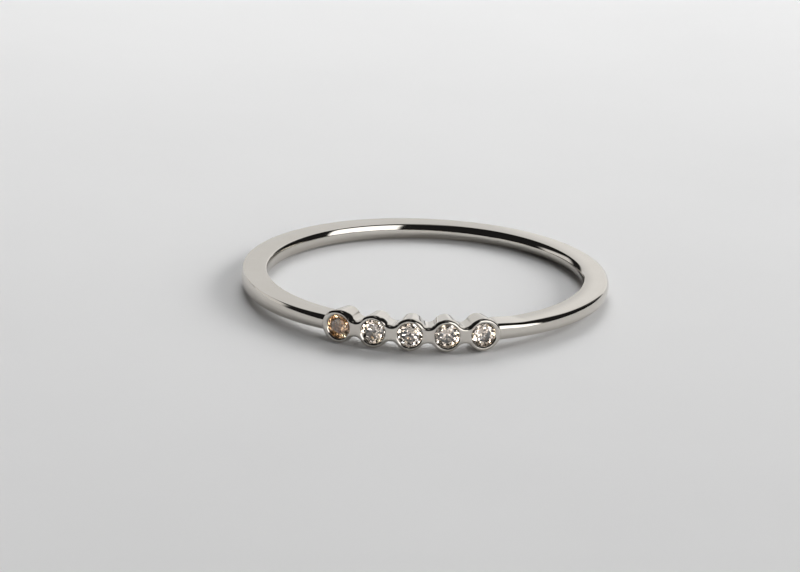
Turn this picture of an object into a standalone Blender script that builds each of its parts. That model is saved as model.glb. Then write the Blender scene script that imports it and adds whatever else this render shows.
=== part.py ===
"""Half eternity ring: a slim polished band whose front is a scalloped bar of five round bezels.

Run it with blender --background --python part.py, or from the text editor.
The finger axis is Z and the bezel bar faces -Y. Lengths are metres.
"""

import math

import bmesh
import bpy
from mathutils import Matrix, Vector

MM = 0.001

# Band
FINGER_RADIUS = 8.25 * MM
BAND_THICKNESS = 1.42 * MM
BAND_WIDTH = 0.80 * MM
BAND_OUTER_ROUND = 0.20 * MM
BAND_INNER_ROUND = 0.36 * MM
DOME_RADIUS = 1.0 * MM
BAND_RUN_IN = math.radians(1.1)
BAND_STEPS = 84
ROUND_STEPS = 3
DOME_STEPS = 4
INNER_STEPS = 5
BAND_RADIUS = FINGER_RADIUS + BAND_THICKNESS

# Bezel bar
BEZEL_COUNT = 5
BEZEL_RADIUS = 0.87 * MM
BEZEL_PITCH = math.radians(11.25)
END_STRETCH = 1.15
NECK_HALF_HEIGHT = 0.43 * MM
FACE_RADIUS = 9.78 * MM
BACK_RADIUS = 8.30 * MM
BAR_EDGE_ROUND = 0.07 * MM
BEZEL_ARC_STEP = math.radians(12.0)
NECK_ARC_STEP = math.radians(16.0)
BEND_STEP = math.radians(1.4)

# Stones: round brilliants, sizes as shares of the girdle's width
STONE_DIAMETER = 1.40 * MM
TABLE_SHARE = 0.57
CROWN_SHARE = 0.15
GIRDLE_SHARE = 0.03
PAVILION_SHARE = 0.43
STAR_SHARE = 0.50
LOWER_HALF_SHARE = 0.78
STONE_SIDES = 8
TABLE_DEPTH = 0.14 * MM
STONE_TURN = math.radians(17.0)

# Seats cut for the stones
OPENING_RADIUS = 0.675 * MM
OPENING_FLARE = 0.03 * MM
SEAT_CLEARANCE = 0.02 * MM
GALLERY_RADIUS = 0.36 * MM
CUT_PAST = 0.4 * MM
SEAT_STEPS = 36
SEAT_TURN = math.radians(3.0)

# Tolerances
WELD = 1e-7
SMOOTH_ANGLE = math.radians(32.0)
STONE_GIRDLE_RADIUS = STONE_DIAMETER / 2
CROWN_HEIGHT = CROWN_SHARE * STONE_DIAMETER
GIRDLE_HEIGHT = GIRDLE_SHARE * STONE_DIAMETER
PAVILION_HEIGHT = PAVILION_SHARE * STONE_DIAMETER
GIRDLE_DEPTH = TABLE_DEPTH + CROWN_HEIGHT


def clear_scene():
    for obj in list(bpy.data.objects):
        bpy.data.objects.remove(obj, do_unlink=True)


def new_collection(name):
    collection = bpy.data.collections.new(name)
    bpy.context.scene.collection.children.link(collection)
    return collection


def new_material(name, colour, roughness, metallic):
    material = bpy.data.materials.new(name)
    material.use_nodes = True
    shader = material.node_tree.nodes["Principled BSDF"]
    shader.inputs["Base Color"].default_value = (*colour, 1.0)
    shader.inputs["Roughness"].default_value = roughness
    shader.inputs["Metallic"].default_value = metallic
    return material


def new_object(name, data, collection, parent=None):
    obj = bpy.data.objects.new(name, data)
    collection.objects.link(obj)
    obj.parent = parent
    return obj


def as_cutter(obj):
    obj.hide_render = True
    obj.display_type = "WIRE"
    return obj


def evaluated_mesh(obj):
    """The object's mesh with its modifiers applied, in world space."""
    bpy.context.view_layer.update()
    graph = bpy.context.evaluated_depsgraph_get()
    mesh = bpy.data.meshes.new_from_object(obj.evaluated_get(graph))
    mesh.transform(obj.matrix_world)
    return mesh


def edit(mesh, work):
    """Runs one bmesh function on the mesh and writes the result back with its faces turned out."""
    bm = bmesh.new()
    bm.from_mesh(mesh)
    work(bm)
    bmesh.ops.recalc_face_normals(bm, faces=bm.faces)
    if bm.calc_volume(signed=True) < 0:
        bmesh.ops.reverse_faces(bm, faces=bm.faces)
    bm.to_mesh(mesh)
    bm.free()
    return mesh


def chain_mesh(name, points, closed):
    """A mesh of edges through the points."""
    count = len(points)
    edges = [(i, (i + 1) % count) for i in range(count if closed else count - 1)]
    mesh = bpy.data.meshes.new(name)
    mesh.from_pydata([tuple(point) for point in points], edges, [])
    return mesh


def add_screw(obj, angle, steps, merge):
    screw = obj.modifiers.new("turn", "SCREW")
    screw.axis = "Z"
    screw.angle = angle
    screw.steps = steps
    screw.render_steps = steps
    screw.use_merge_vertices = merge
    screw.merge_threshold = WELD
    screw.use_smooth_shade = True
    return screw


def add_boolean(obj, other, operation):
    boolean = obj.modifiers.new(other.name, "BOOLEAN")
    boolean.operation = operation
    boolean.solver = "EXACT"
    boolean.object = other


def arc(centre, radius, start, end, steps):
    """Points of an arc in a plane, with both of its ends."""
    return [
        Vector(
            (
                centre[0] + radius * math.cos(start + (end - start) * i / steps),
                centre[1] + radius * math.sin(start + (end - start) * i / steps),
            )
        )
        for i in range(steps + 1)
    ]


def arc_steps(start, end, step):
    return max(2, math.ceil(abs(end - start) / step - 1e-6))


def bezel_angle(index):
    """The angle of a bezel's axis round the ring, from -Y towards +X."""
    return (index - (BEZEL_COUNT - 1) / 2) * BEZEL_PITCH


def radial_rotation(angle, turn):
    """Points local +Z straight out of the ring at this angle, after a turn about that axis."""
    upright = Matrix.Rotation(math.radians(90.0), 4, "X")
    turned = Matrix.Rotation(turn, 4, "Z")
    return (Matrix.Rotation(angle, 4, "Z") @ upright @ turned).to_euler()


def radial_point(radius, angle):
    return Vector((radius * math.sin(angle), -radius * math.cos(angle), 0.0))


# Band: a rounded section turned the long way round, from end bezel to end bezel
def band_section():
    """The section as (radius, height) points, down its domed outer side and up its flat inner side."""
    half = BAND_WIDTH / 2
    outer, inner = BAND_OUTER_ROUND, BAND_INNER_ROUND
    right = math.radians(90.0)
    dome_edge = math.asin((half - outer) / (DOME_RADIUS - outer))
    dome_centre = BAND_RADIUS - DOME_RADIUS
    shoulder = dome_centre + (DOME_RADIUS - outer) * math.cos(dome_edge)
    turns = (
        (shoulder, half - outer, outer, right, dome_edge, ROUND_STEPS),
        (dome_centre, 0.0, DOME_RADIUS, dome_edge, -dome_edge, DOME_STEPS),
        (shoulder, outer - half, outer, -dome_edge, -right, ROUND_STEPS),
        (FINGER_RADIUS + inner, inner - half, inner, -right, -2 * right, INNER_STEPS),
        (FINGER_RADIUS + inner, half - inner, inner, -2 * right, -3 * right, INNER_STEPS),
    )
    points = []
    for x, z, radius, start, end, steps in turns:
        for point in arc((x, z), radius, start, end, steps):
            if not points or (point - points[-1]).length > WELD:
                points.append(point)
    return points


def band_mesh(collection):
    section = [(point.x, 0.0, point.y) for point in band_section()]
    profile = new_object("band_section", chain_mesh("band_section", section, True), collection)
    gap = 2 * (bezel_angle(BEZEL_COUNT - 1) - BAND_RUN_IN)
    add_screw(profile, math.radians(360.0) - gap, BAND_STEPS, False)
    profile.rotation_euler.z = math.radians(-90.0) + gap / 2
    mesh = evaluated_mesh(profile)
    bpy.data.objects.remove(profile)

    def close_ends(bm):
        ends = [edge for edge in bm.edges if edge.is_boundary]
        bmesh.ops.holes_fill(bm, edges=ends, sides=0)

    return edit(mesh, close_ends)


# Bezel bar: the scalloped outline of five circles and their necks, bent round the finger
def scallop_outline():
    """The bar's outline laid flat, with the bezels in a row along X."""
    half_pitch = FACE_RADIUS * BEZEL_PITCH / 2
    fillet = (half_pitch**2 + NECK_HALF_HEIGHT**2 - BEZEL_RADIUS**2) / (
        2 * (BEZEL_RADIUS - NECK_HALF_HEIGHT)
    )
    lean = math.atan2(NECK_HALF_HEIGHT + fillet, half_pitch)
    last = BEZEL_COUNT - 1
    upper = []
    for index in range(BEZEL_COUNT):
        centre = (FACE_RADIUS * bezel_angle(index), 0.0)
        start = math.pi if index == 0 else math.pi - lean
        end = 0.0 if index == last else lean
        upper += arc(centre, BEZEL_RADIUS, start, end, arc_steps(start, end, BEZEL_ARC_STEP))
        if index < last:
            neck = (centre[0] + half_pitch, NECK_HALF_HEIGHT + fillet)
            start, end = math.pi + lean, 2 * math.pi - lean
            steps = arc_steps(start, end, NECK_ARC_STEP)
            upper += arc(neck, fillet, start, end, steps)[1:-1]
    lower = [Vector((point.x, -point.y)) for point in reversed(upper[1:-1])]
    return [drawn_out(point) for point in upper + lower]


def drawn_out(point):
    """Beyond the end bezels' axes the rim thickens towards the band."""
    axis = FACE_RADIUS * bezel_angle(BEZEL_COUNT - 1)
    beyond = max(0.0, abs(point.x) - axis) * (END_STRETCH - 1)
    return Vector((point.x + math.copysign(beyond, point.x), point.y))


def bar_mesh(collection):
    outline = scallop_outline()
    curve = bpy.data.curves.new("bar_outline", "CURVE")
    curve.dimensions = "2D"
    curve.fill_mode = "BOTH"
    curve.extrude = (FACE_RADIUS - BACK_RADIUS) / 2 - BAR_EDGE_ROUND
    curve.bevel_depth = BAR_EDGE_ROUND
    curve.bevel_resolution = 1
    curve.offset = -BAR_EDGE_ROUND
    spline = curve.splines.new("POLY")
    spline.points.add(len(outline) - 1)
    for control, point in zip(spline.points, outline):
        control.co = (point.x, point.y, 0.0, 1.0)
    spline.use_cyclic_u = True
    flat = new_object("bar_outline", curve, collection)
    mesh = evaluated_mesh(flat)
    bpy.data.objects.remove(flat)

    def bend(bm):
        bmesh.ops.remove_doubles(bm, verts=bm.verts, dist=WELD)
        for side in (1, -1):
            cap = [face for face in bm.faces if face.normal.z * side > 0.9999]
            bmesh.ops.dissolve_faces(bm, faces=cap)
        reach = bezel_angle(BEZEL_COUNT - 1) + END_STRETCH * BEZEL_RADIUS / FACE_RADIUS
        cuts = math.floor(reach / BEND_STEP)
        for cut in range(-cuts, cuts):
            everything = bm.verts[:] + bm.edges[:] + bm.faces[:]
            place = (FACE_RADIUS * BEND_STEP * (cut + 0.5), 0.0, 0.0)
            bmesh.ops.bisect_plane(
                bm, geom=everything, dist=WELD / 10, plane_co=place, plane_no=(1.0, 0.0, 0.0)
            )
        bmesh.ops.triangulate(bm, faces=bm.faces)
        for vert in bm.verts:
            along, height, out = vert.co
            radius = (FACE_RADIUS + BACK_RADIUS) / 2 + out
            vert.co = radial_point(radius, along / FACE_RADIUS) + Vector((0.0, 0.0, height))

    return edit(mesh, bend)


# Seats: a straight rim, a recess for the girdle, a cone under the pavilion and an open gallery
def seat_profile():
    """Seat profile as (radius, 0, height) points with the bar's face at height zero."""
    rim_end = GIRDLE_DEPTH - 2 * SEAT_CLEARANCE
    recess = STONE_GIRDLE_RADIUS + SEAT_CLEARANCE
    cone_top = GIRDLE_DEPTH + GIRDLE_HEIGHT + SEAT_CLEARANCE
    slope = PAVILION_HEIGHT / STONE_GIRDLE_RADIUS
    cone_end = cone_top + (recess - GALLERY_RADIUS) * slope
    bottom = FACE_RADIUS - BACK_RADIUS + CUT_PAST
    steps = (
        (0.0, -CUT_PAST),
        (OPENING_RADIUS + OPENING_FLARE + CUT_PAST, -CUT_PAST),
        (OPENING_RADIUS, OPENING_FLARE),
        (OPENING_RADIUS, rim_end),
        (recess, rim_end),
        (recess, cone_top),
        (GALLERY_RADIUS, cone_end),
        (GALLERY_RADIUS, bottom),
        (0.0, bottom),
    )
    return [(radius, 0.0, -depth) for radius, depth in steps]


def seat_cutters(collection):
    mesh = chain_mesh("seat_profile", seat_profile(), False)
    cutters = []
    for index in range(BEZEL_COUNT):
        cutter = as_cutter(new_object(f"seat_cutter_{index + 1}", mesh, collection))
        add_screw(cutter, math.radians(360.0), SEAT_STEPS, True)
        cutter.location = radial_point(FACE_RADIUS, bezel_angle(index))
        cutter.rotation_euler = radial_rotation(bezel_angle(index), SEAT_TURN)
        cutters.append(cutter)
    return cutters


# Stones: the convex hull of a round brilliant's facet corners
def ring_points(radius, height, count, turn):
    """Corners of a level polygon, the first one at the given turn."""
    return [
        Vector(
            (
                radius * math.cos(turn + 2 * math.pi * i / count),
                radius * math.sin(turn + 2 * math.pi * i / count),
                height,
            )
        )
        for i in range(count)
    ]


def brilliant_mesh():
    """A round brilliant with its table at height zero and its culet below."""
    girdle = STONE_GIRDLE_RADIUS
    table = TABLE_SHARE * girdle
    half_turn = math.pi / STONE_SIDES
    shrink = math.cos(half_turn)
    star = table * shrink + STAR_SHARE * (girdle - table * shrink)
    star_depth = CROWN_HEIGHT * (star * shrink - table) / (girdle - table)
    lower = (1 - LOWER_HALF_SHARE) * girdle
    pavilion_top = CROWN_HEIGHT + GIRDLE_HEIGHT
    lower_depth = pavilion_top + PAVILION_HEIGHT * (1 - lower * shrink / girdle)
    rows = (
        (table, 0.0, STONE_SIDES, 0.0),
        (star, star_depth, STONE_SIDES, half_turn),
        (girdle, CROWN_HEIGHT, 2 * STONE_SIDES, 0.0),
        (girdle, pavilion_top, 2 * STONE_SIDES, 0.0),
        (lower, lower_depth, STONE_SIDES, half_turn),
    )
    bm = bmesh.new()
    for radius, depth, count, turn in rows:
        for point in ring_points(radius, -depth, count, turn):
            bm.verts.new(point)
    bm.verts.new((0.0, 0.0, -(pavilion_top + PAVILION_HEIGHT)))
    bmesh.ops.convex_hull(bm, input=bm.verts[:])
    loose = [vert for vert in bm.verts if not vert.link_faces]
    bmesh.ops.delete(bm, geom=loose, context="VERTS")
    flat = math.radians(0.5)
    bmesh.ops.dissolve_limit(bm, angle_limit=flat, verts=bm.verts[:], edges=bm.edges[:])
    bmesh.ops.recalc_face_normals(bm, faces=bm.faces)
    mesh = bpy.data.meshes.new("round_brilliant")
    bm.to_mesh(mesh)
    bm.free()
    return mesh


# Resting pose: the end bezels' lower edges and the back of the band touch the surface
def resting_tilt():
    front = (BACK_RADIUS + BAR_EDGE_ROUND) * math.cos(bezel_angle(BEZEL_COUNT - 1))
    back = BAND_RADIUS - BAND_OUTER_ROUND
    return math.atan2(BEZEL_RADIUS - BAND_WIDTH / 2, front + back)


def settle(rest, parts):
    """Centres the ring over the origin and sets its lowest point at height zero."""
    bpy.context.view_layer.update()
    points = [part.matrix_world @ vert.co for part in parts for vert in part.data.vertices]
    low = Vector(min(point[axis] for point in points) for axis in range(3))
    high = Vector(max(point[axis] for point in points) for axis in range(3))
    rest.location = -(low + high) / 2
    rest.location.z = -low.z
    bpy.context.view_layer.update()


def build():
    clear_scene()
    ring = new_collection("half_eternity_ring")
    cutters = new_collection("cutters")
    white_gold = new_material("polished_white_gold", (0.62, 0.60, 0.57), 0.08, 1.0)
    stone = new_material("clear_stone", (0.93, 0.92, 0.90), 0.02, 0.0)

    rest = new_object("resting_tilt", None, ring)
    rest.rotation_euler.x = -resting_tilt()

    metal = new_object("band_and_bezel_bar", band_mesh(cutters), ring)
    bar = as_cutter(new_object("bezel_bar_blank", bar_mesh(cutters), cutters))
    add_boolean(metal, bar, "UNION")
    for cutter in seat_cutters(cutters):
        add_boolean(metal, cutter, "DIFFERENCE")
    metal.data = evaluated_mesh(metal)
    metal.modifiers.clear()
    metal.data.materials.clear()
    metal.data.materials.append(white_gold)
    metal.data.shade_smooth()
    metal.data.set_sharp_from_angle(angle=SMOOTH_ANGLE)
    metal.parent = rest
    parts = [metal]

    brilliant = brilliant_mesh()
    brilliant.materials.append(stone)
    for index in range(BEZEL_COUNT):
        angle = bezel_angle(index)
        gem = new_object(f"stone_{index + 1}", brilliant, ring, rest)
        gem.location = radial_point(FACE_RADIUS - TABLE_DEPTH, angle)
        gem.rotation_euler = radial_rotation(angle, STONE_TURN * index)
        parts.append(gem)
    settle(rest, parts)


build()
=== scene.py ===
import math
from collections import namedtuple

import bmesh
import bpy
from mathutils import Matrix, Vector


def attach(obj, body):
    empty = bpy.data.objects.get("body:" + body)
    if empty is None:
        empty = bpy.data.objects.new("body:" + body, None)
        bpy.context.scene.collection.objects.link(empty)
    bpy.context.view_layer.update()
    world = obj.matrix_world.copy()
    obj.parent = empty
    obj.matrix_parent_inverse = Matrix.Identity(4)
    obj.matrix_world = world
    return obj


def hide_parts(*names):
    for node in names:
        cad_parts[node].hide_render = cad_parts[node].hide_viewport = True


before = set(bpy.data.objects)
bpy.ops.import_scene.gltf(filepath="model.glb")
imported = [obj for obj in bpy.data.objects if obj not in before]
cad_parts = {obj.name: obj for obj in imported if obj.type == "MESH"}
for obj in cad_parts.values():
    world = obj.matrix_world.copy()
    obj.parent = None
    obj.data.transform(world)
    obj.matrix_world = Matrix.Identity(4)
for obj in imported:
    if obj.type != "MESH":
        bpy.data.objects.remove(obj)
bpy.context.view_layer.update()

MM = 0.001
DEG = math.pi / 180

# Ring, in the solids' sizes; the band's thickness and the bezels' radius are a micron or two less
FINGER_RADIUS = 8.25 * MM
BAND_THICKNESS = 1.419 * MM
BAND_WIDTH = 0.80 * MM
BAND_HALF = BAND_WIDTH / 2
BAND_START = 0.755 * MM
BAND_RADIUS = FINGER_RADIUS + BAND_THICKNESS
DOME_RADIUS = 1.0 * MM
BEZEL_COUNT = 5
BEZEL_RADIUS = 0.868 * MM
BEZEL_CENTRE = (0.0, 0.0)
BEZEL_PITCH = 11.25 * DEG
END_STRETCH = 1.15
NECK_HALF_HEIGHT = 0.43 * MM
FACE_RADIUS = 9.78 * MM
BACK_RADIUS = 8.30 * MM
BAR_DEPTH = FACE_RADIUS - BACK_RADIUS
RESTING_TILT = 1.565 * DEG
RING_CENTRE = Vector((0.0, 0.0657, 0.6578)) * MM
REST = Matrix.Translation(RING_CENTRE) @ Matrix.Rotation(-RESTING_TILT, 4, "X")

# Stones and their seats
STONE_DIAMETER = 1.40 * MM
STONE_SIDES = 8
GIRDLE = STONE_DIAMETER / 2
CROWN = 0.15 * STONE_DIAMETER
BELT = 0.03 * STONE_DIAMETER
PAVILION = 0.43 * STONE_DIAMETER
TABLE_RADIUS = 0.57 * GIRDLE
STAR_SHARE = 0.50
LOWER_RADIUS = 0.22 * GIRDLE
TABLE_DEPTH = 0.14 * MM
OPENING_RADIUS = 0.620 * MM
GALLERY_RADIUS = 0.36 * MM
GALLERY_START = 0.12 * MM
SEAT_CLEARANCE = 0.02 * MM
SEAT_BEVEL = 0.01 * MM
SEAT_EDGE = 0.02 * MM
LIP_EDGE = 0.025 * MM
LIP_SLOPE = 0.04 * MM
OPENING_TOP = 0.11 * MM

# Finer forms than the solids hold
# The bezels' front edge turns on a small arc, then on a long one, the collar
EDGE_ROUND = 0.13 * MM
EDGE_TURN = 75 * DEG
COLLAR_TURN = 82 * DEG
# The collar is longer in the valleys between bezels, and longest on each bezel's right side
COLLAR_TOP_ROUND = 0.5 * MM
COLLAR_SIDE_ROUND = 2.1 * MM
COLLAR_SIDE_SPAN = 50 * DEG
COLLAR_VALLEY_ROUND = 1.3 * MM
VALLEY_TOP = 0.60 * MM
WALL_TAPER = 0.11 * MM
BACK_BEVEL = 0.07 * MM
GALLERY_ROUND = 0.05 * MM
# The bright-cut chamfer round each stone, as (radius, depth) in mm
RIM_CUT = ((0.620, 0.068), (0.626, 0.055), (0.680, 0.006), (0.689, 0.0))
# The band's upper edge flares beside the right end bezel
FLARE = 0.085 * MM
FLARE_END = 38 * DEG
# The band's outer edges are crisp on the left flank, as (degrees from the front, radius in mm)
OUTER_ALONG = (
    (-180, 0.24), (-150, 0.05), (-135, 0.012), (-53, 0.012), (-47.5, 0.03), (-44, 0.07), (-36, 0.14),
    (-30, 0.24), (180, 0.24),
)
# The band's inner side is a low dome, rounder at the back right, as (degrees, radius in mm)
INNER_ALONG = (
    (-180, 0.66), (-165, 0.80), (70, 0.80), (100, 0.50), (160, 0.50), (180, 0.66),
)
INNER_EDGE = 0.08 * MM

# Steps of the meshes
END_STEPS = 34
NECK_STEPS = 5
FILLET_STEPS = 12
ROUND_STEPS = 24
BEVEL_STEPS = 8
COLLAR_STEPS = 5
FACE_SHARES = (0.34, 0.67, 1.0)
WALL_SHARES = (0.05, 0.33, 0.67, 1.0)
BACK_SHARES = (0.0, 0.33, 0.67, 1.0)
BAND_STEPS = 320
OUTER_EDGE_STEPS = 9
OUTER_DOME_STEPS = 10
INNER_EDGE_STEPS = 6
INNER_DOME_STEPS = 14
WELD = 1e-7
CREASE = 38 * DEG

# Per stone: turn about its axis, tilt towards the right, tilt upwards, in degrees
STONES = (
    {"turn": 8.0, "right": 1.2, "up": -0.8, "warm": True},
    {"turn": 21.0, "right": -0.6, "up": 0.9, "warm": False},
    {"turn": 35.0, "right": 0.9, "up": 0.4, "warm": False},
    {"turn": 3.0, "right": -1.1, "up": -0.5, "warm": False},
    {"turn": 14.0, "right": 0.5, "up": 1.1, "warm": False},
)

# Colours along a noise, as (noise value, (red, green, blue))
METAL_TINTS = ((0.30, (0.632, 0.597, 0.546)), (0.70, (0.662, 0.630, 0.582)))
CLEAR_TINTS = ((0.36, (0.72, 0.60, 0.38)), (0.50, (0.97, 0.82, 0.70)), (0.64, (0.94, 0.91, 0.89)))
WARM_TINTS = ((0.36, (0.60, 0.34, 0.14)), (0.50, (0.92, 0.50, 0.24)), (0.64, (0.93, 0.86, 0.66)))
FLOOR_TINTS = ((0.30, (0.779, 0.780, 0.783)), (0.70, (0.799, 0.800, 0.803)))
WARM_CLEARNESS = 0.90
STONE_IOR = 2.40
# Most of a noise's values lie between these two
NOISE_LOW = 0.3
NOISE_HIGH = 0.7
# The metal's polishing lines run level: their noise changes fastest upwards
POLISH_SCALE = (1500.0, 1500.0, 30000.0)

# Bright surroundings, in degrees: azimuth from the front towards the right, elevation from low to high
DARK = 0.015
WORLD_TINT = (1.0, 0.995, 0.985, 1.0)
PATCHES = (
    {"left": -230, "right": -147, "soft": 3, "low": -100, "high": 40, "soft_up": 4, "light": 0.76},
    {"left": -230, "right": -176, "soft": 2.5, "low": -100, "high": 40, "soft_up": 4, "light": 0.94},
    {"left": 147, "right": 230, "soft": 3, "low": -100, "high": 42, "soft_up": 4, "light": 0.94},
    {"left": -128, "right": -91, "soft": 5, "low": -100, "high": 20, "soft_up": 3, "light": 0.80},
    {"left": 135, "right": 230, "soft": 4, "low": -100, "high": 28, "soft_up": 5, "light": 0.06},
    {"left": 25, "right": 80, "soft": 2.5, "low": -100, "high": 38, "soft_up": 3, "light": 2.0},
    {"left": -230, "right": 230, "soft": 1, "low": 82, "high": 200, "soft_up": 4, "light": 0.50},
    {"left": -230, "right": -155, "soft": 5, "low": 71, "high": 200, "soft_up": 3, "light": 0.50},
    {"left": 155, "right": 230, "soft": 5, "low": 71, "high": 200, "soft_up": 3, "light": 0.50},
)

# Lights of the room, in metres and watts
ROOM_LIGHTS = {
    "back_light": {"place": (-0.02, 0.19, 0.15), "width": 0.16, "power": 0.32},
    "right_light": {"place": (0.68, 0.36, 0.36), "width": 0.45, "power": 4.6},
    "high_light": {"place": (-0.05, 0.12, 0.40), "width": 0.25, "power": 0.17},
}
# Lights that show in the stones alone, placed by azimuth and elevation
SPARKLE_DISTANCE = 0.4
SPARKLES = {
    "sparkle_high": {"at": (10, 66), "width": 0.20, "power": 3.4, "colour": (1.0, 0.98, 0.95)},
    "sparkle_left": {"at": (-40, 40), "width": 0.16, "power": 2.8, "colour": (0.84, 0.91, 1.0)},
    "sparkle_right": {"at": (48, 30), "width": 0.16, "power": 2.1, "colour": (1.0, 0.87, 0.70)},
    "sparkle_front": {"at": (-8, 32), "width": 0.07, "power": 0.8, "colour": (1.0, 0.96, 0.90)},
}

# Camera, fitted to the photograph; the shifts are in its pixels
PHOTO_WIDTH = 800
SENSOR_WIDTH = 36.0
CAMERA_AZIMUTH = 3.9 * DEG
CAMERA_ELEVATION = 17.6 * DEG
CAMERA_ROLL = 2.15 * DEG
CAMERA_DISTANCE = 250 * MM
PIXELS_PER_METRE = 19.0 / MM
SHIFT_RIGHT = 25.0
SHIFT_UP = 7.9

FLOOR_HALF = 1.5
FLOOR_SQUARES = 8

# A point of a bezel's outline, with the outward direction there; on a neck line it has none
Spoke = namedtuple("Spoke", "along height out_along out_up on_outline")


def smooth_step(share):
    """Smooth step from zero to one."""
    share = min(1.0, max(0.0, share))
    return share * share * (3 - 2 * share)


def size_along(table, turn):
    """A size that changes along the band, at one turn from the front."""
    turn = math.remainder(turn, 2 * math.pi) / DEG
    for (start, first), (end, last) in zip(table, table[1:]):
        if start <= turn <= end:
            return (first + (last - first) * (turn - start) / (end - start)) * MM
    return table[-1][1] * MM


def bezel_angle(index):
    """A bezel's turn from the front; the middle one is at zero."""
    return (index - (BEZEL_COUNT - 1) / 2) * BEZEL_PITCH


def bent(along, height, depth, angle):
    """A point of the flat bar, bent round the finger: along the face, up, and behind it."""
    turn = angle + along / FACE_RADIUS
    radius = FACE_RADIUS - depth
    return Vector((radius * math.sin(turn), -radius * math.cos(turn), height))


def straight(across, height, depth, angle):
    """A point in the straight frame of one bezel, whose axis stands out of the ring."""
    outward = Vector((math.sin(angle), -math.cos(angle), 0.0))
    sideways = Vector((math.cos(angle), math.sin(angle), 0.0))
    return outward * (FACE_RADIUS - depth) + sideways * across + Vector((0.0, 0.0, height))


def arc_points(centre, radius, start, end, steps):
    """Points of an arc in a plane, each with its turn."""
    turns = [start + (end - start) * i / steps for i in range(steps + 1)]
    return [
        (centre[0] + radius * math.cos(turn), centre[1] + radius * math.sin(turn), turn) for turn in turns
    ]


def mesh_object(name, bm, material):
    """A new object from a bmesh, with its faces turned outwards."""
    bmesh.ops.recalc_face_normals(bm, faces=bm.faces)
    if bm.calc_volume(signed=True) < 0:
        bmesh.ops.reverse_faces(bm, faces=bm.faces)
    mesh = bpy.data.meshes.new(name)
    bm.to_mesh(mesh)
    bm.free()
    mesh.materials.append(material)
    obj = bpy.data.objects.new(name, mesh)
    bpy.context.scene.collection.objects.link(obj)
    return obj


def add_strip(bm, first, second):
    """Faces between two lines of vertices of the same length."""
    for i in range(len(first) - 1):
        bm.faces.new([first[i], first[i + 1], second[i + 1], second[i]])


# Bezel bar
def end_quadrant():
    """Spokes of a quarter of an end bezel's free side, from its side to its top."""
    spokes = []
    for along, height, turn in arc_points(BEZEL_CENTRE, BEZEL_RADIUS, 0.0, math.pi / 2, END_STEPS):
        out_along = math.cos(turn)
        out_up = END_STRETCH * math.sin(turn)
        length = math.hypot(out_along, out_up)
        spokes.append(Spoke(along * END_STRETCH, height, out_along / length, out_up / length, True))
    return spokes


def necked_quadrant():
    """Spokes of a quarter of a bezel's side that meets the next: up the neck, its fillet and the round."""
    half_pitch = FACE_RADIUS * BEZEL_PITCH / 2
    fillet = (half_pitch**2 + NECK_HALF_HEIGHT**2 - BEZEL_RADIUS**2) / (
        2 * (BEZEL_RADIUS - NECK_HALF_HEIGHT)
    )
    lean = math.atan2(NECK_HALF_HEIGHT + fillet, half_pitch)
    spokes = []
    for i in range(NECK_STEPS):
        spokes.append(Spoke(half_pitch, NECK_HALF_HEIGHT * i / NECK_STEPS, 0.0, 0.0, False))
    centre = (half_pitch, NECK_HALF_HEIGHT + fillet)
    for along, height, turn in arc_points(centre, fillet, 1.5 * math.pi, math.pi + lean, FILLET_STEPS):
        spokes.append(Spoke(along, height, -math.cos(turn), -math.sin(turn), True))
    for along, height, turn in arc_points(BEZEL_CENTRE, BEZEL_RADIUS, lean, math.pi / 2, ROUND_STEPS)[1:]:
        spokes.append(Spoke(along, height, math.cos(turn), math.sin(turn), True))
    return spokes


def mirrored(spoke, sideways, upwards):
    """A spoke, mirrored in the directions that are given as minus one."""
    return Spoke(
        spoke.along * sideways, spoke.height * upwards,
        spoke.out_along * sideways, spoke.out_up * upwards, spoke.on_outline,
    )


def full_outline(right_necked, left_necked):
    """All spokes of one bezel, anticlockwise from its right side."""
    right = necked_quadrant() if right_necked else end_quadrant()
    left = necked_quadrant() if left_necked else end_quadrant()
    upper_left = [mirrored(spoke, -1, 1) for spoke in reversed(left[:-1])]
    lower_left = [mirrored(spoke, -1, -1) for spoke in left[1:]]
    lower_right = [mirrored(spoke, 1, -1) for spoke in reversed(right[1:-1])]
    return right + upper_left + lower_left + lower_right


def inset(spoke, amount):
    """A spoke's end, moved in from the outline; on a neck line it shrinks with the neck."""
    if spoke.on_outline:
        return spoke.along - spoke.out_along * amount, spoke.height - spoke.out_up * amount
    return spoke.along, spoke.height * (NECK_HALF_HEIGHT - amount) / NECK_HALF_HEIGHT


def front_edge(spoke):
    """The turn from the face to the wall, as (distance in from the outline, depth)."""
    side = min(1.0, max(0.0, spoke.out_along) / math.cos(COLLAR_SIDE_SPAN))
    valley = smooth_step((VALLEY_TOP - abs(spoke.height)) / (VALLEY_TOP - NECK_HALF_HEIGHT))
    top = COLLAR_TOP_ROUND + (COLLAR_VALLEY_ROUND - COLLAR_TOP_ROUND) * valley
    collar = top + (COLLAR_SIDE_ROUND - top) * side
    step_in = collar * (math.sin(COLLAR_TURN) - math.sin(EDGE_TURN))
    points = []
    for i in range(BEVEL_STEPS + 1):
        turn = EDGE_TURN * i / BEVEL_STEPS
        inward = step_in + EDGE_ROUND * (math.sin(EDGE_TURN) - math.sin(turn))
        points.append((inward, EDGE_ROUND * (1 - math.cos(turn))))
    depth = points[-1][1]
    for i in range(1, COLLAR_STEPS + 1):
        turn = EDGE_TURN + (COLLAR_TURN - EDGE_TURN) * i / COLLAR_STEPS
        inward = collar * (math.sin(COLLAR_TURN) - math.sin(turn))
        points.append((inward, depth + collar * (math.cos(EDGE_TURN) - math.cos(turn))))
    return points


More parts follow.
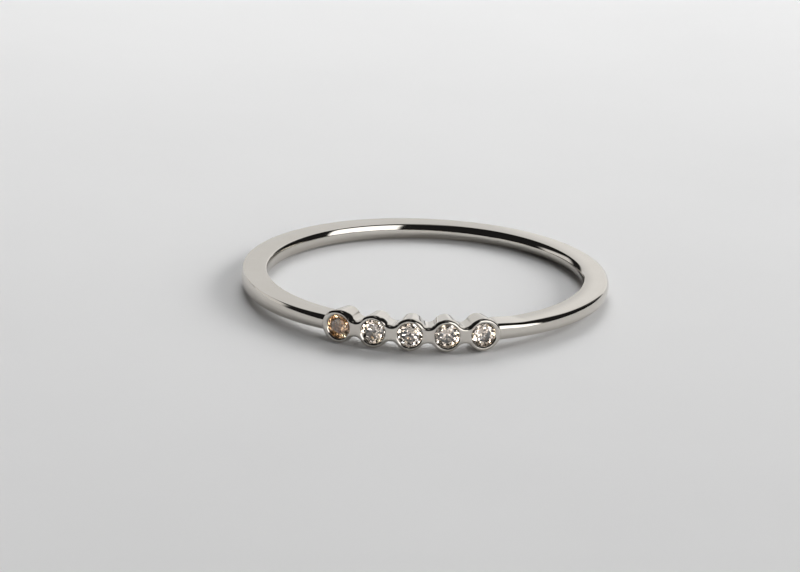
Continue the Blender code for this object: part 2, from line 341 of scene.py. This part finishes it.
def seat_points():
    """The stone's seat from the gallery hole to under the rim, as (radius, depth)."""
    crown_depth = TABLE_DEPTH + CROWN
    recess = GIRDLE + SEAT_CLEARANCE
    cone_top = crown_depth + BELT + SEAT_CLEARANCE
    cone_end = cone_top + (recess - GALLERY_RADIUS) * PAVILION / GIRDLE
    lip = crown_depth - 2 * SEAT_CLEARANCE
    return [
        (GALLERY_RADIUS, BAR_DEPTH - GALLERY_START),
        (GALLERY_RADIUS, cone_end + SEAT_EDGE),
        (GALLERY_RADIUS + SEAT_BEVEL, cone_end),
        (recess, cone_top),
        (recess, lip + LIP_EDGE),
        (recess - SEAT_BEVEL, lip + SEAT_BEVEL),
        (OPENING_RADIUS, lip - LIP_SLOPE),
        (OPENING_RADIUS, OPENING_TOP),
    ]


def seat_line(theta, angle):
    """Points from the gallery hole over the seat and the bright-cut chamfer to the face."""
    points = []
    for radius, depth in seat_points():
        points.append(straight(radius * math.cos(theta), radius * math.sin(theta), depth, angle))
    for radius, depth in RIM_CUT:
        across = radius * MM * math.cos(theta)
        sag = FACE_RADIUS - math.sqrt(FACE_RADIUS**2 - across**2)
        points.append(straight(across, radius * MM * math.sin(theta), sag + depth * MM, angle))
    return points


def level_line(start, end, shares, depth, angle):
    """Points between two places of the bar, all at one depth behind the face."""
    return [
        bent(start[0] + (end[0] - start[0]) * share, start[1] + (end[1] - start[1]) * share, depth, angle)
        for share in shares
    ]


def wall_line(spoke, edge, angle):
    """Points over the front edge and down the tapered wall, to the round before the back."""
    steps = edge[1:]
    wall_top = edge[-1][1]
    wall_end = BAR_DEPTH - BACK_BEVEL
    for share in WALL_SHARES:
        steps.append((WALL_TAPER * share, wall_top + (wall_end - wall_top) * share))
    for i in range(1, BEVEL_STEPS):
        turn = math.pi / 2 * i / BEVEL_STEPS
        steps.append((
            WALL_TAPER + BACK_BEVEL * (1 - math.cos(turn)), wall_end + BACK_BEVEL * math.sin(turn)
        ))
    return [bent(*inset(spoke, inward), depth, angle) for inward, depth in steps]


def back_line(spoke, theta, angle):
    """Points over the back, from the outline to the rounded rim of the gallery hole."""
    rim = GALLERY_RADIUS + GALLERY_ROUND
    rim_along = FACE_RADIUS * math.asin(rim * math.cos(theta) / BACK_RADIUS)
    start = inset(spoke, WALL_TAPER + BACK_BEVEL)
    points = level_line(start, (rim_along, rim * math.sin(theta)), BACK_SHARES, BAR_DEPTH, angle)
    for i in range(1, BEVEL_STEPS + 1):
        turn = math.pi / 2 * i / BEVEL_STEPS
        radius = rim - GALLERY_ROUND * math.sin(turn)
        across = radius * math.cos(theta)
        sag = FACE_RADIUS - math.sqrt(BACK_RADIUS**2 - across**2)
        depth = sag - GALLERY_ROUND * (1 - math.cos(turn))
        points.append(straight(across, radius * math.sin(theta), depth, angle))
    return points


def bezel_lines(spoke, angle):
    """Two lines of points at one spoke: from the seat over the face to the wall, and over the back."""
    edge = front_edge(spoke)
    face_end = inset(spoke, edge[0][0])
    theta = math.atan2(face_end[1], face_end[0])
    rim = RIM_CUT[-1][0] * MM
    face_start = (FACE_RADIUS * math.asin(rim * math.cos(theta) / FACE_RADIUS), rim * math.sin(theta))
    front = seat_line(theta, angle) + level_line(face_start, face_end, FACE_SHARES, 0.0, angle)
    if spoke.on_outline:
        front += wall_line(spoke, edge, angle)
    back = back_line(spoke, theta, angle)
    back.append(front[0])
    return front, back


def bar_bmesh():
    """The scalloped bar; at a neck two bezels share a line of points, with no wall between them."""
    bm = bmesh.new()
    for index in range(BEZEL_COUNT):
        angle = bezel_angle(index)
        spokes = full_outline(index < BEZEL_COUNT - 1, index > 0)
        lines = []
        for spoke in spokes:
            front, back = bezel_lines(spoke, angle)
            lines.append((
                [bm.verts.new(point) for point in front],
                [bm.verts.new(point) for point in back],
            ))
        for i, (front, back) in enumerate(lines):
            next_front, next_back = lines[(i + 1) % len(lines)]
            both = min(len(front), len(next_front))
            add_strip(bm, front[:both], next_front[:both])
            add_strip(bm, back, next_back)
            if len(front) == len(next_front) and spokes[i].on_outline:
                add_strip(bm, [front[-1], back[0]], [next_front[-1], next_back[0]])
    bmesh.ops.remove_doubles(bm, verts=bm.verts, dist=WELD)
    return bm


# Band
def band_section(outer, inner):
    """(radius, height) points of the band's section, by its outer rounding and its inner dome."""
    right = math.pi / 2
    dome_edge = math.asin((BAND_HALF - outer) / (DOME_RADIUS - outer))
    dome_centre = BAND_RADIUS - DOME_RADIUS
    shoulder = dome_centre + (DOME_RADIUS - outer) * math.cos(dome_edge)
    inner_edge = math.asin((BAND_HALF - INNER_EDGE) / (inner - INNER_EDGE))
    inner_centre = FINGER_RADIUS + inner
    heel = inner_centre - (inner - INNER_EDGE) * math.cos(inner_edge)
    lower = inner_edge - math.pi
    upper = -inner_edge - math.pi
    arcs = (
        ((shoulder, BAND_HALF - outer), outer, right, dome_edge, OUTER_EDGE_STEPS),
        ((dome_centre, 0.0), DOME_RADIUS, dome_edge, -dome_edge, OUTER_DOME_STEPS),
        ((shoulder, outer - BAND_HALF), outer, -dome_edge, -right, OUTER_EDGE_STEPS),
        ((heel, INNER_EDGE - BAND_HALF), INNER_EDGE, -right, lower, INNER_EDGE_STEPS),
        ((inner_centre, 0.0), inner, lower, upper, INNER_DOME_STEPS),
        ((heel, BAND_HALF - INNER_EDGE), INNER_EDGE, upper, -3 * right, INNER_EDGE_STEPS),
    )
    points = []
    for centre, radius, start, end, steps in arcs:
        for x, z, _ in arc_points(centre, radius, start, end, steps):
            if not points or math.hypot(x - points[-1][0], z - points[-1][1]) > WELD:
                points.append((x, z))
    return points


def band_bmesh():
    """The band from one end bezel round the back to the other, with closed ends."""
    bm = bmesh.new()
    reach = bezel_angle(BEZEL_COUNT - 1) + BAND_START / FACE_RADIUS
    sections = []
    for i in range(BAND_STEPS + 1):
        turn = reach + (2 * math.pi - 2 * reach) * i / BAND_STEPS
        rise = FLARE * smooth_step((FLARE_END - turn) / (FLARE_END - reach))
        sections.append([
            bm.verts.new((
                radius * math.sin(turn), -radius * math.cos(turn),
                height + rise * smooth_step(height / BAND_HALF),
            ))
            for radius, height in band_section(size_along(OUTER_ALONG, turn), size_along(INNER_ALONG, turn))
        ])
    for first, second in zip(sections, sections[1:]):
        add_strip(bm, first + first[:1], second + second[:1])
    bm.faces.new(sections[0])
    bm.faces.new(sections[-1])
    return bm


def build_metal(material):
    """The band and the bezel bar, soldered into one piece."""
    metal = mesh_object("ring_metal", bar_bmesh(), material)
    band = mesh_object("band_blank", band_bmesh(), material)
    union = metal.modifiers.new("solder", "BOOLEAN")
    union.operation = "UNION"
    union.solver = "EXACT"
    union.object = band
    bpy.context.view_layer.update()
    graph = bpy.context.evaluated_depsgraph_get()
    mesh = bpy.data.meshes.new_from_object(metal.evaluated_get(graph))
    metal.modifiers.clear()
    metal.data = mesh
    bpy.data.objects.remove(band)
    mesh.materials.clear()
    mesh.materials.append(material)
    mesh.transform(REST)
    mesh.shade_smooth()
    mesh.set_sharp_from_angle(angle=CREASE)
    weighted = metal.modifiers.new("even_shading", "WEIGHTED_NORMAL")
    weighted.keep_sharp = True
    weighted.weight = 60
    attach(metal, "root")
    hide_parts("band_and_bezel_bar")


# Stones
def brilliant_bmesh():
    """A round brilliant with its table at height zero and its culet below."""
    half_turn = math.pi / STONE_SIDES
    shrink = math.cos(half_turn)
    star = TABLE_RADIUS * shrink + STAR_SHARE * (GIRDLE - TABLE_RADIUS * shrink)
    star_depth = CROWN * (star * shrink - TABLE_RADIUS) / (GIRDLE - TABLE_RADIUS)
    lower_depth = CROWN + BELT + PAVILION * (1 - LOWER_RADIUS * shrink / GIRDLE)
    rows = (
        (TABLE_RADIUS, 0.0, STONE_SIDES, 0.0),
        (star, star_depth, STONE_SIDES, half_turn),
        (GIRDLE, CROWN, 2 * STONE_SIDES, 0.0),
        (GIRDLE, CROWN + BELT, 2 * STONE_SIDES, 0.0),
        (LOWER_RADIUS, lower_depth, STONE_SIDES, half_turn),
    )
    bm = bmesh.new()
    for radius, depth, count, start in rows:
        for i in range(count):
            turn = start + 2 * math.pi * i / count
            bm.verts.new((radius * math.cos(turn), radius * math.sin(turn), -depth))
    bm.verts.new((0.0, 0.0, -(CROWN + BELT + PAVILION)))
    bmesh.ops.convex_hull(bm, input=bm.verts[:])
    loose = [vert for vert in bm.verts if not vert.link_faces]
    bmesh.ops.delete(bm, geom=loose, context="VERTS")
    bmesh.ops.dissolve_limit(bm, angle_limit=0.5 * DEG, verts=bm.verts[:], edges=bm.edges[:])
    return bm


def build_stone(index, look, material):
    """One brilliant in its bezel, turned and tilted a little as set by hand."""
    angle = bezel_angle(index)
    gem = mesh_object(f"brilliant_{index + 1}", brilliant_bmesh(), material)
    place = (
        Matrix.Translation(straight(0.0, 0.0, TABLE_DEPTH, angle))
        @ Matrix.Rotation(angle, 4, "Z")
        @ Matrix.Rotation(90 * DEG, 4, "X")
        @ Matrix.Rotation(look["right"] * DEG, 4, "Y")
        @ Matrix.Rotation(-look["up"] * DEG, 4, "X")
        @ Matrix.Rotation(look["turn"] * DEG, 4, "Z")
    )
    gem.data.transform(REST @ place)
    gem.data.shade_flat()
    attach(gem, "root")
    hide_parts(f"stone_{index + 1}")


# Materials
def node(tree, kind, **values):
    """A new node with some of its settings."""
    made = tree.nodes.new(kind)
    for name, value in values.items():
        setattr(made, name, value)
    return made


def noise_texture(tree, coordinates, scale, detail):
    """The values of a noise over the object."""
    noise = node(tree, "ShaderNodeTexNoise")
    noise.inputs["Scale"].default_value = scale
    noise.inputs["Detail"].default_value = detail
    tree.links.new(coordinates, noise.inputs["Vector"])
    return noise.outputs["Fac"]


def ramp(tree, value, stops):
    """Colours by value, from (position, colour) stops."""
    made = node(tree, "ShaderNodeValToRGB")
    elements = made.color_ramp.elements
    while len(elements) < len(stops):
        elements.new(0.5)
    for element, (position, colour) in zip(elements, stops):
        element.position = position
        element.color = (*colour, 1.0)
    tree.links.new(value, made.inputs["Fac"])
    return made.outputs["Color"]


def map_range(tree, value, from_low, from_high, to_low, to_high, interpolation="LINEAR"):
    """A value moved from one range to another, and kept inside it."""
    made = node(tree, "ShaderNodeMapRange", interpolation_type=interpolation)
    tree.links.new(value, made.inputs["Value"])
    made.inputs["From Min"].default_value = from_low
    made.inputs["From Max"].default_value = from_high
    made.inputs["To Min"].default_value = to_low
    made.inputs["To Max"].default_value = to_high
    return made.outputs["Result"]


def roughen(tree, shader, noise, low, high):
    """The shader's roughness follows a noise, from low to high."""
    rough = map_range(tree, noise, NOISE_LOW, NOISE_HIGH, low, high)
    tree.links.new(rough, shader.inputs["Roughness"])


def math_node(tree, operation, first, second=None):
    """A calculation with one or two values, each a number or another node's output."""
    made = node(tree, "ShaderNodeMath", operation=operation)
    for socket, value in zip(made.inputs, (first, second)):
        if isinstance(value, (int, float)):
            socket.default_value = value
        elif value is not None:
            tree.links.new(value, socket)
    return made.outputs[0]


def new_material(name):
    """A new material: itself, its nodes, its shader and the place on the object."""
    material = bpy.data.materials.new(name)
    material.use_nodes = True
    tree = material.node_tree
    place = node(tree, "ShaderNodeTexCoord").outputs["Object"]
    return material, tree, tree.nodes["Principled BSDF"], place


def white_gold():
    """Polished white gold: a faint drift of warm and cool, fine polishing lines and a cloudy gloss."""
    material, tree, shader, place = new_material("polished_white_gold_detailed")
    shader.inputs["Metallic"].default_value = 1.0
    drift = noise_texture(tree, place, scale=450.0, detail=3.0)
    tree.links.new(ramp(tree, drift, METAL_TINTS), shader.inputs["Base Color"])
    stretch = node(tree, "ShaderNodeMapping")
    stretch.inputs["Scale"].default_value = POLISH_SCALE
    tree.links.new(place, stretch.inputs["Vector"])
    lines = noise_texture(tree, stretch.outputs["Vector"], scale=1.0, detail=4.0)
    cloudy = noise_texture(tree, place, scale=1800.0, detail=2.0)
    half_lines = math_node(tree, "MULTIPLY", lines, 0.5)
    half_cloudy = math_node(tree, "MULTIPLY", cloudy, 0.5)
    mix = math_node(tree, "ADD", half_lines, half_cloudy)
    roughen(tree, shader, mix, 0.035, 0.085)
    bump = node(tree, "ShaderNodeBump")
    bump.inputs["Strength"].default_value = 0.05
    bump.inputs["Distance"].default_value = 0.01 * MM
    tree.links.new(lines, bump.inputs["Height"])
    tree.links.new(bump.outputs["Normal"], shader.inputs["Normal"])
    return material


def gem_material(name, tints, clearness):
    """Cut stone with an uneven body colour."""
    material, tree, shader, place = new_material(name)
    shader.inputs["Transmission Weight"].default_value = clearness
    shader.inputs["IOR"].default_value = STONE_IOR
    shader.inputs["Specular IOR Level"].default_value = 0.5
    cloud = noise_texture(tree, place, scale=1700.0, detail=2.0)
    tree.links.new(ramp(tree, cloud, tints), shader.inputs["Base Color"])
    polish = noise_texture(tree, place, scale=9000.0, detail=2.0)
    roughen(tree, shader, polish, 0.0, 0.015)
    return material


def floor_material():
    """Plain pale floor with a faint mottle."""
    material, tree, shader, place = new_material("pale_floor")
    mottle = noise_texture(tree, place, scale=60.0, detail=3.0)
    tree.links.new(ramp(tree, mottle, FLOOR_TINTS), shader.inputs["Base Color"])
    roughen(tree, shader, mottle, 0.80, 0.90)
    shader.inputs["Specular IOR Level"].default_value = 0.2
    return material


# Surroundings
def soft_box(tree, value, low, high, edge):
    """One between low and high, falling to zero over the edge's width."""
    rise = map_range(tree, value, low - edge, low + edge, 0.0, 1.0, "SMOOTHSTEP")
    fall = map_range(tree, value, high - edge, high + edge, 1.0, 0.0, "SMOOTHSTEP")
    return math_node(tree, "MULTIPLY", rise, fall)


def build_world():
    """A dark room with the bright patches, by direction from the ring."""
    world = bpy.data.worlds.new("soft_studio")
    bpy.context.scene.world = world
    world.use_nodes = True
    tree = world.node_tree
    split = node(tree, "ShaderNodeSeparateXYZ")
    tree.links.new(node(tree, "ShaderNodeTexCoord").outputs["Generated"], split.inputs[0])
    x, y, z = split.outputs
    front = math_node(tree, "MULTIPLY", y, -1.0)
    azimuth = math_node(tree, "MULTIPLY", math_node(tree, "ARCTAN2", x, front), 1 / DEG)
    elevation = math_node(tree, "MULTIPLY", math_node(tree, "ARCSINE", z), 1 / DEG)
    total = None
    for patch in PATCHES:
        share = math_node(
            tree, "MULTIPLY",
            soft_box(tree, azimuth, patch["left"], patch["right"], patch["soft"]),
            soft_box(tree, elevation, patch["low"], patch["high"], patch["soft_up"]),
        )
        lit = math_node(tree, "MULTIPLY", share, patch["light"])
        total = lit if total is None else math_node(tree, "MAXIMUM", total, lit)
    background = tree.nodes["Background"]
    tree.links.new(math_node(tree, "ADD", total, DARK), background.inputs["Strength"])
    background.inputs["Color"].default_value = WORLD_TINT


def add_light(name, place, width, power, colour=(1.0, 1.0, 1.0), only_stones=False):
    """A round soft light aimed at the ring, unseen in the metal, and on the floor if for stones only."""
    data = bpy.data.lights.new(name, "AREA")
    data.shape = "DISK"
    data.size = width
    data.energy = power
    data.color = colour
    light = bpy.data.objects.new(name, data)
    light.location = place
    light.rotation_euler = (-Vector(place)).to_track_quat("-Z", "Y").to_euler()
    light.visible_glossy = False
    light.visible_diffuse = not only_stones
    bpy.context.scene.collection.objects.link(light)


def toward(azimuth, elevation):
    """The direction at an azimuth from the front towards the right and an elevation."""
    level = math.cos(elevation)
    return Vector((math.sin(azimuth) * level, -math.cos(azimuth) * level, math.sin(elevation)))


def build_lights():
    """The lights of the room, then those of the stones."""
    for name, light in ROOM_LIGHTS.items():
        add_light(name, light["place"], light["width"], light["power"])
    for name, light in SPARKLES.items():
        azimuth, elevation = light["at"]
        place = toward(azimuth * DEG, elevation * DEG) * SPARKLE_DISTANCE
        add_light(name, place, light["width"], light["power"], light["colour"], only_stones=True)


def build_camera():
    """The photograph's view, at its angle to the ring."""
    focal_pixels = PIXELS_PER_METRE * CAMERA_DISTANCE
    back = toward(CAMERA_AZIMUTH, CAMERA_ELEVATION)
    level = Vector((math.cos(CAMERA_AZIMUTH), math.sin(CAMERA_AZIMUTH), 0.0))
    above = back.cross(level)
    right = level * math.cos(CAMERA_ROLL) + above * math.sin(CAMERA_ROLL)
    up = above * math.cos(CAMERA_ROLL) - level * math.sin(CAMERA_ROLL)
    ahead = -back - right * (SHIFT_RIGHT / focal_pixels) - up * (SHIFT_UP / focal_pixels)
    z_axis = -ahead.normalized()
    x_axis = up.cross(z_axis).normalized()
    y_axis = z_axis.cross(x_axis)
    turn = Matrix((x_axis, y_axis, z_axis)).transposed().to_4x4()
    data = bpy.data.cameras.new("camera")
    data.sensor_width = SENSOR_WIDTH
    data.lens = focal_pixels * SENSOR_WIDTH / PHOTO_WIDTH
    data.clip_start = 0.01
    data.clip_end = 20.0
    camera = bpy.data.objects.new("camera", data)
    camera.matrix_world = REST @ Matrix.Translation(back * CAMERA_DISTANCE) @ turn
    bpy.context.scene.collection.objects.link(camera)
    bpy.context.scene.camera = camera


def build_floor():
    """A level square under the ring."""
    bm = bmesh.new()
    bmesh.ops.create_grid(bm, x_segments=FLOOR_SQUARES, y_segments=FLOOR_SQUARES, size=FLOOR_HALF)
    floor = mesh_object("floor", bm, floor_material())


def build():
    """The whole scene, camera first."""
    build_camera()
    build_metal(white_gold())
    clear = gem_material("clear_brilliant", CLEAR_TINTS, clearness=1.0)
    warm = gem_material("warm_brilliant", WARM_TINTS, clearness=WARM_CLEARNESS)
    for index, look in enumerate(STONES):
        build_stone(index, look, warm if look["warm"] else clear)
    build_floor()
    build_world()
    build_lights()
    view = bpy.context.scene.view_settings
    view.view_transform = "Standard"
    view.look = "None"


build()
